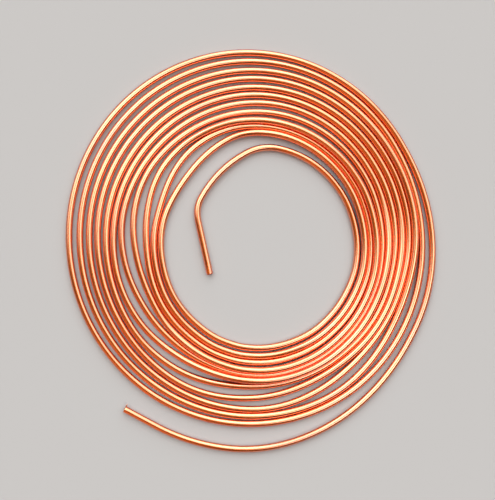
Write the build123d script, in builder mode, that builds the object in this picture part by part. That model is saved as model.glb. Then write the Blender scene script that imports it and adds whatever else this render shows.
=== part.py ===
# Coil of soft copper tube: one drawn tube, wound flat and sprung open, with both ends free.
# The coil lies on the plane z = 0. Bearings are in degrees, anticlockwise from +X, seen from above.
# The tube winds inwards and anticlockwise. Its winding angle is 360 times the turn, plus the bearing.
import os
from math import cos, pi, radians, sin, sqrt

from build123d import *

# Tube: three sixteenths of an inch outside, 22 gauge wall
tube_od = 4.76
tube_wall = 0.71
turn_play = 0.1

# Outermost full turn, a slightly oval ring whose middle lies beside the coil's axis
ring_radius = 127.6
ring_offset = 1.4
ring_offset_bearing = 191
ring_ovality = 2.35
ring_oval_bearing = 97

# Winding angles at which that turn begins, and between which it steps in by one pitch
ring_start = 390
step_in_start = 655
step_in_end = 755

# Where the wound tube begins and ends, before its free ends
wound_start = 243
wound_end = 12 * 360 + 40

# Outer end: the tube stands off the outermost turn, then runs straight
outer_opening = 12.9
outer_opening_full = 264
outer_opening_closed = 332
outer_straight = 24.3

# Inner end: bends, each with its radius in shares of the eye's radius and its angle, then a straight run
inner_bends = [(0.97, 32), (0.49, 41), (1.11, 33), (0.33, 41)]
inner_straight = 38.9

# Where neighbouring turns have sprung apart: turn, bearing, half of the span in degrees, opening
openings = [
    (0, 341, 60, 2.9),
    (1, 167, 144, 2.8),
    (1, 333, 40, 2.8),
    (2, 130, 110, 2.1),
    (2, 215, 60, 1.1),
    (2, 305, 33, 3.4),
    (3, 137, 122, 1.2),
    (3, 210, 55, 0.5),
    (3, 281, 41, 3.6),
    (4, 130, 118, 1.7),
    (4, 260, 45, 3.8),
    (5, 123, 108, 0.6),
    (5, 241, 49, 3.7),
    (5, 334, 32, 1.5),
    (6, 119, 91, 1.0),
    (6, 211, 43, 3.6),
    (7, 93, 77, 1.5),
    (7, 189, 50, 4.0),
    (8, 66, 97, 2.5),
    (8, 169, 48, 4.2),
    (8, 288, 80, 1.3),
    (9, 150, 41, 4.1),
    (10, 128, 43, 5.2),
    (10, 252, 93, 0.8),
    (10, 330, 63, 0.8),
    (11, 56, 71, 2.9),
]

# Where a turn has climbed on its neighbours: turn and bearing at each end, height
climbs = [
    ((2, 320), (3, 60), 2.4),
    ((4, 290), (5, 15), 2.5),
    ((6, 228), (7, 20), 3.6),
    ((8, 215), (9, 135), 3.0),
    ((10, 270), (11, 110), 2.2),
]
climb_ramp = 40

# The path is a chain of tangent arcs, two for each span
arc_span = 20
slope_step = 0.05

touching_pitch = tube_od + turn_play


def swell(x):
    """A smooth rise and fall, 1 at x = 0 and 0 from x = -1 and 1 outwards."""
    return cos(pi * x / 2) ** 2 if abs(x) < 1 else 0


def ease(x):
    """A smooth step from 0 at x = 0 to 1 at x = 1."""
    x = min(max(x, 0), 1)
    return x * x * (3 - 2 * x)


def cosine(degrees):
    return cos(radians(degrees))


def winding(turn, bearing):
    return 360 * turn + bearing


def climb(angle):
    """How far the tube lies above the floor at a winding angle."""
    height = 0
    for start, end, top in climbs:
        up = ease((angle - winding(*start)) / climb_ramp)
        down = ease((winding(*end) - angle) / climb_ramp)
        height += top * up * down
    return height


def opening(angle):
    """The gap seen from above between the tube at a winding angle and the next turn in."""
    gap = sum(
        top * swell((angle - winding(turn, bearing)) / half_span)
        for turn, bearing, half_span, top in openings
    )
    closed = (outer_opening_closed - angle) / (outer_opening_closed - outer_opening_full)
    return gap + outer_opening * ease(closed)


def pitch(angle):
    """How far in the next turn lies: touching turns are closer where one has climbed."""
    rise = climb(angle + 360) - climb(angle)
    return sqrt(touching_pitch**2 - rise**2) + opening(angle)


def coil_radius(angle):
    """The radius of the tube's centre line at a winding angle."""
    if angle < ring_start:
        return coil_radius(angle + 360) + pitch(angle)
    if angle >= ring_start + 360:
        return coil_radius(angle - 360) - pitch(angle - 360)
    ring = ring_radius + ring_offset * cosine(angle - ring_offset_bearing)
    ring += ring_ovality * cosine(2 * (angle - ring_oval_bearing))
    step = (angle - step_in_start) / (step_in_end - step_in_start)
    return ring - pitch(ring_start) * ease(step)


def centre(angle):
    """A point of the tube's centre line."""
    radius = coil_radius(angle)
    height = tube_od / 2 + climb(angle)
    return Vector(radius * cosine(angle), radius * sin(radians(angle)), height)


def heading(angle):
    """The direction of the tube's centre line, along the winding."""
    return (centre(angle + slope_step) - centre(angle - slope_step)).normalized()


def arc_joint(start, start_way, end, end_way):
    """Where two arcs meet that leave one point and reach another, each along its own direction."""
    chord = end - start
    ways = start_way + end_way
    turn_part = 2 * (1 - start_way.dot(end_way))
    along = chord.dot(ways)
    reach = (sqrt(along**2 + turn_part * chord.dot(chord)) - along) / turn_part
    return (start + start_way * reach + end - end_way * reach) / 2


spans = round((wound_end - wound_start) / arc_span)
stations = [wound_start + (wound_end - wound_start) * i / spans for i in range(spans + 1)]

with BuildPart() as copper_tube:
    with BuildLine() as path:
        first = centre(wound_start)
        Line(first - heading(wound_start) * outer_straight, first)
        for here, there in zip(stations, stations[1:]):
            joint = arc_joint(centre(here), heading(here), centre(there), heading(there))
            near_arc = TangentArc(centre(here), joint, tangent=heading(here))
            TangentArc(joint, centre(there), tangent=near_arc % 1)
        for radius_share, bend_angle in inner_bends:
            last = path.edges()[-1]
            JernArc(last @ 1, last % 1, radius_share * coil_radius(wound_end), bend_angle)
        last = path.edges()[-1]
        Line(last @ 1, (last @ 1) + (last % 1) * inner_straight)
    with BuildSketch(Plane(path.wire() @ 0, z_dir=path.wire() % 0)) as section:
        Circle(tube_od / 2)
        Circle(tube_od / 2 - tube_wall, mode=Mode.SUBTRACT)
    sweep()

# The origin is the middle of the coil's footprint, on the floor
footprint = copper_tube.part.bounding_box().center()
to_middle = Location((-footprint.X, -footprint.Y, 0))
copper_tube.part = copper_tube.part.moved(to_middle)
copper_tube.part.label = "copper_tube"

tube_line = path.wire().moved(to_middle)
path_length = tube_line.length
section_area = pi * (tube_od - tube_wall) * tube_wall
print("length of tube", round(path_length, 1))
print("volume", round(copper_tube.part.volume, 1), "section times length", round(section_area * path_length, 1))
print("tightest arc", round(min(edge.radius for edge in path.edges().filter_by(GeomType.CIRCLE)), 1))
print("coil's axis", to_middle.position)
print("outer end", tube_line @ 0, "pointing along", -(tube_line % 0))
print("inner end", tube_line @ 1, "pointing along", tube_line % 1)

os.makedirs("parts", exist_ok=True)
export_step(copper_tube.part, "parts/copper_tube.step")
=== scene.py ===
# Coil of soft copper tube, lying flat: a loose spiral with one end free outside and one in the eye.
from math import cos, degrees, pi, radians, sin, sqrt

import bpy
import numpy as np
from mathutils import Matrix, Vector


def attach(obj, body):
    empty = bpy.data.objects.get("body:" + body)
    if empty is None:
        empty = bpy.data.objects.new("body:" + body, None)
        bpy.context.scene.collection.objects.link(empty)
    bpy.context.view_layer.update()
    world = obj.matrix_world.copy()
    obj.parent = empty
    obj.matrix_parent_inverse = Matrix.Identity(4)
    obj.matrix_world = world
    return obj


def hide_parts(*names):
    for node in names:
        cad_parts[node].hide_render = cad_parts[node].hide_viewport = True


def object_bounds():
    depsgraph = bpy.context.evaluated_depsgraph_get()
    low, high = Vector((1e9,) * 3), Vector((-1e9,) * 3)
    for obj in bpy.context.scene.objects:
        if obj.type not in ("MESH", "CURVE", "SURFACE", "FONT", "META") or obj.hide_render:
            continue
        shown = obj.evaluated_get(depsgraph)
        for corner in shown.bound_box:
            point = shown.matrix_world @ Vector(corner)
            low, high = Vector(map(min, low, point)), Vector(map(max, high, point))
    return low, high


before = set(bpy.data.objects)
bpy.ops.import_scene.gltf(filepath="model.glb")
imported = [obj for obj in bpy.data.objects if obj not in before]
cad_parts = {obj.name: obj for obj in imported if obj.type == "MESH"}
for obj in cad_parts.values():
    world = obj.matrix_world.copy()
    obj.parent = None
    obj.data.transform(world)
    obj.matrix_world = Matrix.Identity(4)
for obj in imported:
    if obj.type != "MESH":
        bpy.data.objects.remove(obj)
cadLow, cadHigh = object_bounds()
mm = 0.001

# The tube and the way it is wound, in millimetres and degrees.
# A winding angle is 360 times the turn, plus the bearing, anticlockwise from +X and inwards.
coil = {
    "tubeOd": 4.76,
    "wall": 0.71,
    "play": 0.1,
    "ringRadius": 127.6,
    "ringOffset": 1.4,
    "ringOffsetBearing": 191,
    "ringOvality": 2.35,
    "ringOvalBearing": 97,
    "ringStart": 390,
    "stepIn": (655, 755),
    "wound": (243, 12 * 360 + 40),
    "outerOpening": 12.9,
    "outerOpeningFull": 264,
    "outerOpeningClosed": 332,
    "outerStraight": 24.3,
    "innerBends": [(0.97, 32), (0.49, 41), (1.11, 33), (0.33, 41)],  # share of the eye's radius, angle
    "innerStraight": 38.9,
    "openings": [  # turn, bearing, half of the span, gap
        (0, 341, 60, 2.9),
        (1, 167, 144, 2.8),
        (1, 333, 40, 2.8),
        (2, 130, 110, 2.1),
        (2, 215, 60, 1.1),
        (2, 305, 33, 3.4),
        (3, 137, 122, 1.2),
        (3, 210, 55, 0.5),
        (3, 281, 41, 3.6),
        (4, 130, 118, 1.7),
        (4, 260, 45, 3.8),
        (5, 123, 108, 0.6),
        (5, 241, 49, 3.7),
        (5, 334, 32, 1.5),
        (6, 119, 91, 1.0),
        (6, 211, 43, 3.6),
        (7, 93, 77, 1.5),
        (7, 189, 50, 4.0),
        (8, 66, 97, 2.5),
        (8, 169, 48, 4.2),
        (8, 288, 80, 1.3),
        (9, 150, 41, 4.1),
        (10, 128, 43, 5.2),
        (10, 252, 93, 0.8),
        (10, 330, 63, 0.8),
        (11, 56, 71, 2.9),
    ],
    "climbs": [  # turn and bearing at each end, height
        ((2, 320), (3, 60), 2.4),
        ((4, 290), (5, 15), 2.5),
        ((6, 228), (7, 20), 3.6),
        ((8, 215), (9, 135), 3.0),
        ((10, 270), (11, 110), 2.2),
    ],
    "climbRamp": 40,
    "headingStep": 0.05,
}


def swell(x):
    return cos(pi * x / 2) ** 2 if abs(x) < 1 else 0


def ease(x):
    x = min(max(x, 0), 1)
    return x * x * (3 - 2 * x)


def climb(angle):  # height above the floor at a winding angle
    height = 0
    for start, end, top in coil["climbs"]:
        up = ease((angle - 360 * start[0] - start[1]) / coil["climbRamp"])
        down = ease((360 * end[0] + end[1] - angle) / coil["climbRamp"])
        height += top * up * down
    return height


def opening(angle):  # gap to the next turn in
    gap = 0
    for turn, bearing, halfSpan, top in coil["openings"]:
        gap += top * swell((angle - 360 * turn - bearing) / halfSpan)
    closed = coil["outerOpeningClosed"]
    return gap + coil["outerOpening"] * ease((closed - angle) / (closed - coil["outerOpeningFull"]))


def pitch(angle):
    rise = climb(angle + 360) - climb(angle)
    return sqrt((coil["tubeOd"] + coil["play"]) ** 2 - rise ** 2) + opening(angle)


def coilRadius(angle):
    if angle < coil["ringStart"]:
        return coilRadius(angle + 360) + pitch(angle)
    if angle >= coil["ringStart"] + 360:
        return coilRadius(angle - 360) - pitch(angle - 360)
    ring = coil["ringRadius"] + coil["ringOffset"] * cos(radians(angle - coil["ringOffsetBearing"]))
    ring += coil["ringOvality"] * cos(radians(2 * (angle - coil["ringOvalBearing"])))
    first, last = coil["stepIn"]
    return ring - pitch(coil["ringStart"]) * ease((angle - first) / (last - first))


def centre(angle):  # a point of the tube's middle line, in millimetres
    radius = coilRadius(angle)
    height = coil["tubeOd"] / 2 + climb(angle)
    return Vector((radius * cos(radians(angle)), radius * sin(radians(angle)), height))


def heading(angle):
    step = coil["headingStep"]
    return (centre(angle + step) - centre(angle - step)).normalized()


# How finely the tube is meshed, in millimetres, and how its last rings roll in at each cut
tubeMesh = {
    "ringGap": 4.2,
    "bendStep": 4.0,  # degrees
    "straightStep": 2.4,
    "bevelResolution": 11,  # 26 sides
    "smoothAngle": 35,
    # distance from the cut, share of the radius
    "rolledIn": [(0.0, 0.968), (0.15, 0.982), (0.45, 0.994), (1.0, 1.0)],
}


def straightRun(start, way, length):  # points after the start, the last one at the length
    count = max(round(length / tubeMesh["straightStep"]), 1)
    return [start + way * length * i / count for i in range(1, count + 1)]


def woundRun(first, last):  # evenly spaced points of the wound tube, both ends in
    angles = [first]
    while angles[-1] < last:
        angles.append(angles[-1] + degrees(tubeMesh["ringGap"] / coilRadius(angles[-1])))
    stretch = (last - first) / (angles[-1] - first)
    return [centre(first + (angle - first) * stretch) for angle in angles]


def tubeLine():  # the middle line from the outer cut to the inner one
    first, last = coil["wound"]
    points = straightRun(centre(first), -heading(first), coil["outerStraight"])[::-1]
    points += woundRun(first, last)
    way = heading(last)
    way.z = 0
    way.normalize()
    for share, bend in coil["innerBends"]:
        radius = share * coilRadius(last)
        side = Vector((-way.y, way.x, 0))
        hub = points[-1] + side * radius
        steps = round(bend / tubeMesh["bendStep"])
        for turned in [radians(bend * i / steps) for i in range(1, steps + 1)]:
            points.append(hub + (way * sin(turned) - side * cos(turned)) * radius)
        way = way * cos(radians(bend)) + side * sin(radians(bend))
    return points + straightRun(points[-1], way, coil["innerStraight"])


def withCutRings(points):  # adds the close rings at both cuts, and gives each ring its share of the radius
    near = tubeMesh["rolledIn"]
    shares = [1.0] * len(points)
    for end in ("outer", "inner"):
        way = (points[1] - points[0]).normalized()
        points = [points[0] + way * gap for gap, share in near] + points[1:]
        shares = [share for gap, share in near] + shares[1:]
        points.reverse()
        shares.reverse()
    return points, shares


def placeOnFrame(points):  # the middle of the coil's footprint goes to the middle of the CAD box
    flat = np.array([point[:2] for point in points])
    middle = (flat.min(axis=0) + flat.max(axis=0)) / 2
    boxMiddle = (cadLow + cadHigh) / 2
    shift = Vector((boxMiddle.x - middle[0] * mm, boxMiddle.y - middle[1] * mm, 0))
    return [point * mm + shift for point in points], shift


def selectOnly(*pieces):
    bpy.ops.object.select_all(action="DESELECT")
    for piece in pieces:
        piece.select_set(True)
    bpy.context.view_layer.objects.active = pieces[0]


def makeSkin(line, shares):  # the outside of the tube, open at both cuts
    curve = bpy.data.curves.new("coiledTube", "CURVE")
    curve.dimensions = "3D"
    curve.twist_mode = "Z_UP"
    curve.bevel_depth = coil["tubeOd"] / 2 * mm
    curve.bevel_resolution = tubeMesh["bevelResolution"]
    spline = curve.splines.new("POLY")
    spline.points.add(len(line) - 1)
    for point, place, share in zip(spline.points, line, shares):
        point.co = (*place, 1)
        point.radius = share
    skin = bpy.data.objects.new("coiledTube", curve)
    bpy.context.collection.objects.link(skin)
    selectOnly(skin)
    bpy.ops.object.convert(target="MESH")
    return bpy.context.object


# The two cuts, in millimetres and degrees: how far each leans back over how long a stretch, its
# broken edges, and the tag that the blade left on the outer one
cuts = {
    "lean": 9,  # degrees
    "leanReach": 3.0,
    "edgeBreak": 0.08,
    "edgeSegments": 2,
    "sharpAngle": 60,
    "tagFrom": (0.5, 0.6),  # how far under the outside of the tube, and behind the cut, the tag begins
    "tagLift": 14,  # degrees above the floor
    "tagStart": (2.0, 1.0),  # width and thickness
    "tagSteps": [  # rise, taper and curl
        (0.65, 0.94, 0.04),
        (0.65, 0.90, 0.07),
        (0.55, 0.86, 0.02),
        (0.5, 0.78, -0.08),
        (0.35, 0.55, -0.10),
    ],
    "tagRounding": 2,
}


def readRings(tube, line):  # the middle line, and the points of the skin around each of its points
    points = np.empty(len(tube.data.vertices) * 3)
    tube.data.vertices.foreach_get("co", points)
    return np.array(line), points.reshape(len(line), -1, 3)


def slantCuts(tube, line):  # both cuts lean back a little, so the bore shows from above
    middle, points = readRings(tube, line)
    reach, lean = cuts["leanReach"] * mm, sin(radians(cuts["lean"]))
    for end, step in ((0, 1), (-1, -1)):
        back = middle[end + step] - middle[end]
        back /= np.linalg.norm(back)
        for ring, place in enumerate(middle):
            depth = np.linalg.norm(place - middle[end])
            if depth < reach:
                height = points[ring, :, 2] - points[ring, :, 2].min()
                points[ring] += back * (height * lean * (1 - depth / reach))[:, None]
    tube.data.vertices.foreach_set("co", points.ravel())


# Each point's place along the tube, then outwards and upwards of its middle line
def nameTubeSpace(tube, line):
    middle, points = readRings(tube, line)
    run = np.gradient(middle, axis=0)
    outwards = np.stack((run[:, 1], -run[:, 0]), axis=1)
    outwards /= np.linalg.norm(outwards, axis=1)[:, None]
    offset = points - middle[:, None]
    steps = np.linalg.norm(np.diff(middle, axis=0), axis=1)
    along = np.concatenate(([0], np.cumsum(steps)))
    space = np.empty_like(points)
    space[:, :, 0] = along[:, None]
    space[:, :, 1] = (offset[:, :, :2] * outwards[:, None]).sum(axis=2)
    space[:, :, 2] = offset[:, :, 2]
    attribute = tube.data.attributes.new("tubeSpace", "FLOAT_VECTOR", "POINT")
    attribute.data.foreach_set("vector", space.ravel())
    print("tube:", len(line), "rings of", points.shape[1], "sides,", round(float(along[-1]), 3), "m long")
    return float(along[-1])


# Copper: its colours in linear light, the clear film on it, and its three finishes. Each kind of mark
# has how many there are to a metre along the tube and both ways across, then the noise levels at which
# a mark starts and is full. Tarnish, brown, roughness and height are a base and a share of each mark.
copper = {
    "clean": (0.95, 0.20, 0.01, 1),
    "tarnished": (0.70, 0.09, 0.02, 1),
    "blushed": (0.96, 0.26, 0.02, 1),
    "freshlyCut": (0.97, 0.56, 0.36, 1),
    "browned": (0.34, 0.11, 0.05, 1),
    "grazing": (0.90, 0.18, 0.03, 1),
    "film": 1.0,
    "filmRoughness": 0.09,
    "filmIor": 2.5,
    "markDetail": 3,
    # the inner end grows rougher, and darker by a share of the tarnished colour, over its last stretch
    "dullDarkEndReach": (8.0, 2.5),  # millimetres from the inner cut, where it starts and where it is full
    "drawn": {
        "marks": {
            "lines": ((9, 2600, 2600), 0.30, 0.70),
            "broadLines": ((5, 700, 700), 0.45, 0.75),
            "stains": ((13, 170, 170), 0.50, 0.75),
            "smudges": ((60, 500, 500), 0.55, 0.80),
            "nicks": ((420, 1500, 1500), 0.70, 0.76),
        },
        "tarnish": (0.0, {"stains": 0.45, "smudges": 0.25, "nicks": 0.5, "dullDarkEnd": 0.35}),
        "roughness": (0.17, {"lines": 0.06, "stains": 0.10, "smudges": 0.12, "dullDarkEnd": 0.16}),
        "height": (0.0, {"lines": 0.6, "broadLines": 0.4, "nicks": -3.0}),
        "depth": 0.004,  # millimetres
    },
    "bore": {
        "marks": {
            "lines": ((9, 2600, 2600), 0.30, 0.70),
            "stains": ((13, 170, 170), 0.35, 0.65),
        },
        "brown": (0.35, {"stains": 0.5}),
        "roughness": (0.42, {"lines": 0.10, "stains": 0.12}),
        "height": (0.0, {"lines": 1.0}),
        "depth": 0.008,
    },
    "cut": {
        "marks": {"scratches": ((5200, 500, 5200), 0.35, 0.65)},
        "roughness": (0.26, {"scratches": 0.14}),
        "height": (0.0, {"scratches": 1.0}),
        "depth": 0.016,
    },
}


def feed(tree, socket, given):  # what is given is another node's socket or a plain value
    if isinstance(given, bpy.types.NodeSocket):
        tree.links.new(given, socket)
    else:
        socket.default_value = given


def addMath(tree, operation, *inputs):
    node = tree.nodes.new("ShaderNodeMath")
    node.operation = operation
    for socket, given in zip(node.inputs, inputs):
        feed(tree, socket, given)
    return node.outputs["Value"]


def addVectorMath(tree, operation, *inputs):
    node = tree.nodes.new("ShaderNodeVectorMath")
    node.operation = operation
    for socket, given in zip(node.inputs, inputs):
        feed(tree, socket, given)
    return node.outputs["Value" if operation == "DOT_PRODUCT" else "Vector"]


def addRamp(tree, value, start, full):  # from 0 at the start to 1 where it is full
    ramp = tree.nodes.new("ShaderNodeMapRange")
    ramp.interpolation_type = "SMOOTHSTEP"
    feed(tree, ramp.inputs["Value"], value)
    feed(tree, ramp.inputs["From Min"], start)
    feed(tree, ramp.inputs["From Max"], full)
    return ramp.outputs["Result"]


def mixIn(tree, under, over, mask):  # the second colour over the first, where the mask is
    mix = tree.nodes.new("ShaderNodeMix")
    mix.data_type = "RGBA"
    factor, first, second = mix.inputs[0], mix.inputs[6], mix.inputs[7]
    feed(tree, factor, mask)
    feed(tree, first, under)
    feed(tree, second, over)
    return mix.outputs[2]


def makeMarksGroup():  # uneven marks, drawn out by how many there are to a metre each way
    group = bpy.data.node_groups.new("marks", "ShaderNodeTree")
    for label, kind in (("Place", "Vector"), ("Per metre", "Vector"), ("Start", "Float"), ("Full", "Float")):
        group.interface.new_socket(label, in_out="INPUT", socket_type="NodeSocket" + kind)
    group.interface.new_socket("Mask", in_out="OUTPUT", socket_type="NodeSocketFloat")
    given = group.nodes.new("NodeGroupInput").outputs
    result = group.nodes.new("NodeGroupOutput").inputs
    noise = group.nodes.new("ShaderNodeTexNoise")
    noise.inputs["Scale"].default_value = 1
    noise.inputs["Detail"].default_value = copper["markDetail"]
    scaled = addVectorMath(group, "MULTIPLY", given["Place"], given["Per metre"])
    feed(group, noise.inputs["Vector"], scaled)
    feed(group, result["Mask"], addRamp(group, noise.outputs["Fac"], given["Start"], given["Full"]))
    return group


marksGroup = makeMarksGroup()


def addMarks(tree, place, finish):  # a mask for each kind of mark of the finish
    masks = {}
    for kind, (perMetre, start, full) in finish["marks"].items():
        marks = tree.nodes.new("ShaderNodeGroup")
        marks.node_tree = marksGroup
        marks.inputs["Per metre"].default_value = perMetre
        marks.inputs["Start"].default_value = start
        marks.inputs["Full"].default_value = full
        feed(tree, marks.inputs["Place"], place)
        masks[kind] = marks.outputs["Mask"]
    return masks


def addUp(tree, masks, mixture):  # a base value plus a share of each mask
    total, shares = mixture
    for kind, share in shares.items():
        total = addMath(tree, "MULTIPLY_ADD", masks[kind], share, total)
    return total


def addTubeSpace(tree):
    attribute = tree.nodes.new("ShaderNodeAttribute")
    attribute.attribute_name = "tubeSpace"
    return attribute.outputs["Vector"]


def startCopper(name):  # a bare metal with the copper's own edge tint, under its film
    material = bpy.data.materials.new(name)
    material.use_nodes = True
    tree = material.node_tree
    shader = tree.nodes["Principled BSDF"]
    shader.inputs["Metallic"].default_value = 1
    shader.inputs["Specular Tint"].default_value = copper["grazing"]
    shader.inputs["Coat Weight"].default_value = copper["film"]
    shader.inputs["Coat Roughness"].default_value = copper["filmRoughness"]
    shader.inputs["Coat IOR"].default_value = copper["filmIor"]
    return material, tree


def finishCopper(tree, finish, masks, colour):
    shader = tree.nodes["Principled BSDF"]
    bump = tree.nodes.new("ShaderNodeBump")
    bump.inputs["Strength"].default_value = 1
    bump.inputs["Distance"].default_value = finish["depth"] * mm
    feed(tree, bump.inputs["Height"], addUp(tree, masks, finish["height"]))
    feed(tree, shader.inputs["Normal"], bump.outputs["Normal"])
    feed(tree, shader.inputs["Roughness"], addUp(tree, masks, finish["roughness"]))
    feed(tree, shader.inputs["Base Color"], colour)


def addDullDarkEnd(tree, place, length):  # the last stretch of the inner end, rougher and darker
    parts = tree.nodes.new("ShaderNodeSeparateXYZ")
    feed(tree, parts.inputs["Vector"], place)
    start, full = (length - reach * mm for reach in copper["dullDarkEndReach"])
    return addRamp(tree, parts.outputs["X"], start, full)


def makeDrawnCopper(length):  # bright outside: die lines, faint stains, smudges, a few nicks, a rougher and darker inner end
    material, tree = startCopper("drawnCopper")
    finish = copper["drawn"]
    place = addTubeSpace(tree)
    masks = addMarks(tree, place, finish)
    masks["dullDarkEnd"] = addDullDarkEnd(tree, place, length)
    colour = mixIn(tree, copper["clean"], copper["blushed"], masks["broadLines"])
    colour = mixIn(tree, colour, copper["tarnished"], addUp(tree, masks, finish["tarnish"]))
    finishCopper(tree, finish, masks, colour)
    return material


def makeBoreCopper():  # dull inside, browned and lined by the plug it was drawn over
    material, tree = startCopper("boreCopper")
    finish = copper["bore"]
    masks = addMarks(tree, addTubeSpace(tree), finish)
    colour = mixIn(tree, copper["tarnished"], copper["browned"], addUp(tree, masks, finish["brown"]))
    finishCopper(tree, finish, masks, colour)
    return material


def makeCutCopper():  # fresh metal at the cuts, scratched by the blade
    material, tree = startCopper("cutCopper")
    finish = copper["cut"]
    place = tree.nodes.new("ShaderNodeTexCoord").outputs["Object"]
    masks = addMarks(tree, place, finish)
    colour = mixIn(tree, copper["freshlyCut"], copper["clean"], masks["scratches"])
    finishCopper(tree, finish, masks, colour)
    return material


def giveWall(tube):
    selectOnly(tube)
    wall = tube.modifiers.new("wall", "SOLIDIFY")
    wall.thickness = coil["wall"] * mm
    wall.offset = -1
    wall.use_rim = True
    wall.material_offset = 1
    wall.material_offset_rim = 2
    bpy.ops.object.modifier_apply(modifier=wall.name)
    edges = tube.modifiers.new("brokenEdges", "BEVEL")
    edges.limit_method = "ANGLE"
    edges.angle_limit = radians(cuts["sharpAngle"])
    edges.width = cuts["edgeBreak"] * mm
    edges.segments = cuts["edgeSegments"]
    bpy.ops.object.modifier_apply(modifier=edges.name)


def makeTag(line, cutCopper):  # a thin tapered tag that stands out over the edge of the outer cut
    away = (line[0] - line[1]).normalized()
    inwards = Vector((away.y, -away.x, 0))
    lift = radians(cuts["tagLift"])
    reach = inwards * cos(lift) + Vector((0, 0, sin(lift)))
    across = away.cross(reach)
    width, thickness = cuts["tagStart"]
    under, behind = cuts["tagFrom"]
    start = line[0] + (reach * (coil["tubeOd"] / 2 - under) - away * behind) * mm
    bpy.ops.object.select_all(action="DESELECT")
    bpy.ops.mesh.primitive_plane_add(size=mm)
    tag = bpy.context.object
    turn = Matrix((across, away, reach)).transposed()
    tag.matrix_world = Matrix.Translation(start) @ turn.to_4x4() @ Matrix.Diagonal((width, thickness, 1, 1))
    bpy.ops.object.transform_apply(location=True, rotation=True, scale=True)
    bpy.ops.object.mode_set(mode="EDIT")
    bpy.ops.mesh.select_all(action="SELECT")
    for rise, taper, curl in cuts["tagSteps"]:
        step = (reach * rise + away * curl) * mm
        start += step
        bpy.ops.mesh.extrude_region_move(TRANSFORM_OT_translate={"value": step})
        bpy.ops.transform.resize(value=(taper, taper, taper), center_override=start)
    bpy.ops.mesh.select_all(action="SELECT")
    bpy.ops.mesh.normals_make_consistent(inside=False)
    bpy.ops.object.mode_set(mode="OBJECT")
    smooth = tag.modifiers.new("rounded", "SUBSURF")
    smooth.levels = cuts["tagRounding"]
    smooth.render_levels = cuts["tagRounding"]
    bpy.ops.object.modifier_apply(modifier=smooth.name)
    tag.data.materials.append(cutCopper)
    return tag


def makeTube():
    line, shares = withCutRings(tubeLine())
    line, axis = placeOnFrame(line)
    tube = makeSkin(line, shares)
    length = nameTubeSpace(tube, line)
    slantCuts(tube, line)
    cutCopper = makeCutCopper()
    for material in (makeDrawnCopper(length), makeBoreCopper(), cutCopper):
        tube.data.materials.append(material)
    giveWall(tube)
    tag = makeTag(line, cutCopper)
    selectOnly(tube, tag)
    bpy.ops.object.join()
    bpy.ops.object.shade_smooth_by_angle(angle=radians(tubeMesh["smoothAngle"]))
    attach(tube, "root")
    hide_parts("copper_tube")
    triangles = sum(len(face.vertices) - 2 for face in tube.data.polygons)
    print("tube with its bore, cuts and tag:", triangles, "triangles")
    return axis


floorLook = {"size": 60.0, "colour": (0.435, 0.385, 0.385, 1), "roughness": 0.9, "shine": 0.2}


def makeFloor():
    bpy.ops.mesh.primitive_plane_add(size=floorLook["size"])
    floor = bpy.context.object
    floor.name = "floor"
    material = bpy.data.materials.new("paleFloor")
    material.use_nodes = True
    shader = material.node_tree.nodes["Principled BSDF"]
    shader.inputs["Base Color"].default_value = floorLook["colour"]
    shader.inputs["Roughness"].default_value = floorLook["roughness"]
    shader.inputs["Specular IOR Level"].default_value = floorLook["shine"]
    floor.data.materials.append(material)


# The studio is a dome with round softboxes on it, each with its bearing, elevation and radius in
# degrees, and its brightness. They are a cool white, the dim side opposite them is warm, and a pale
# backdrop stands low in front of them all around.
dome = {
    "fill": (0.17, 0.07, 0.03),
    "coolWhite": (0.93, 1.13, 1.14),
    "warmWhite": (1.0, 0.42, 0.12),
    "softEdge": 8,
    "softboxes": [  # bearing, elevation, radius, brightness
        (112, 55, 27, 2.8),
        (322, 69, 11, 4.0),
        (25, 46, 23, 1.8),
        (75, 20, 26, 2.4),
        (150, 42, 20, 1.5),
    ],
    "warmBoxes": [
        (230, 40, 20, 0.6),
    ],
    "backdrop": (0.59, 0.57, 0.555),
    "backdropTop": (7, 15),  # elevations at which it begins to fade, and is gone
}


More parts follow.
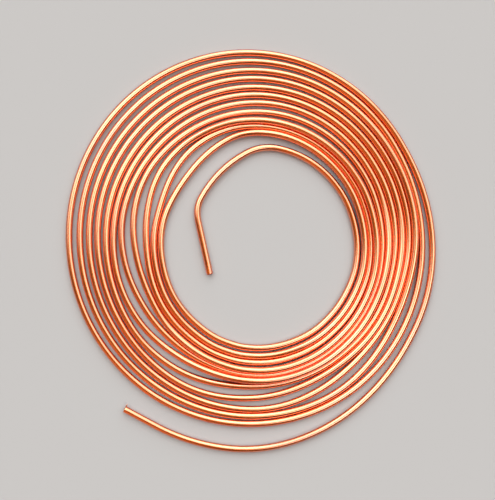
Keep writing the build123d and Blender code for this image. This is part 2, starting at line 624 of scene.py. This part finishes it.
def wayTo(bearing, elevation):
    flat = cos(radians(elevation))
    return Vector((flat * cos(radians(bearing)), flat * sin(radians(bearing)), sin(radians(elevation))))


def makeDome():
    world = bpy.data.worlds.new("softDome")
    bpy.context.scene.world = world
    world.use_nodes = True
    tree = world.node_tree
    way = tree.nodes.new("ShaderNodeTexCoord").outputs["Generated"]
    light = dome["fill"]
    for white, boxes in (("coolWhite", dome["softboxes"]), ("warmWhite", dome["warmBoxes"])):
        for bearing, elevation, radius, brightness in boxes:
            facing = addVectorMath(tree, "DOT_PRODUCT", way, wayTo(bearing, elevation))
            rim, core = (cos(radians(radius + step)) for step in (dome["softEdge"], -dome["softEdge"]))
            glow = addRamp(tree, facing, rim, core)
            light = addVectorMath(tree, "MULTIPLY_ADD", glow, Vector(dome[white]) * brightness, light)
    low, top = (sin(radians(elevation)) for elevation in dome["backdropTop"])
    height = addVectorMath(tree, "DOT_PRODUCT", way, (0, 0, 1))
    light = mixIn(tree, light, (*dome["backdrop"], 1), addRamp(tree, height, top, low))
    feed(tree, tree.nodes["Background"].inputs["Color"], light)


# The camera looks straight down. Pixels are the photograph's own, 495 wide and 500 high.
shot = {
    "imageHeight": 500,
    "imageCentre": (247.5, 250),
    "axisPixel": (250, 238),
    "mmPerPixel": 0.70,
    "cameraHeight": 0.55,
    "sensor": 36,
}


def makeCamera(axis):
    bpy.ops.object.camera_add()
    camera = bpy.context.object
    pixel = shot["mmPerPixel"] * mm
    across = shot["imageCentre"][0] - shot["axisPixel"][0]
    down = shot["imageCentre"][1] - shot["axisPixel"][1]
    camera.location = (axis.x + across * pixel, axis.y - down * pixel, shot["cameraHeight"])
    distance = shot["cameraHeight"] - coil["tubeOd"] / 2 * mm
    camera.data.sensor_width = shot["sensor"]
    camera.data.lens = shot["sensor"] * distance / (shot["imageHeight"] * pixel)
    camera.data.dof.use_dof = False
    bpy.context.scene.camera = camera


axis = makeTube()
makeFloor()
makeDome()
makeCamera(axis)
bpy.context.scene.view_settings.view_transform = "Standard"
print("floor, dome and camera made")
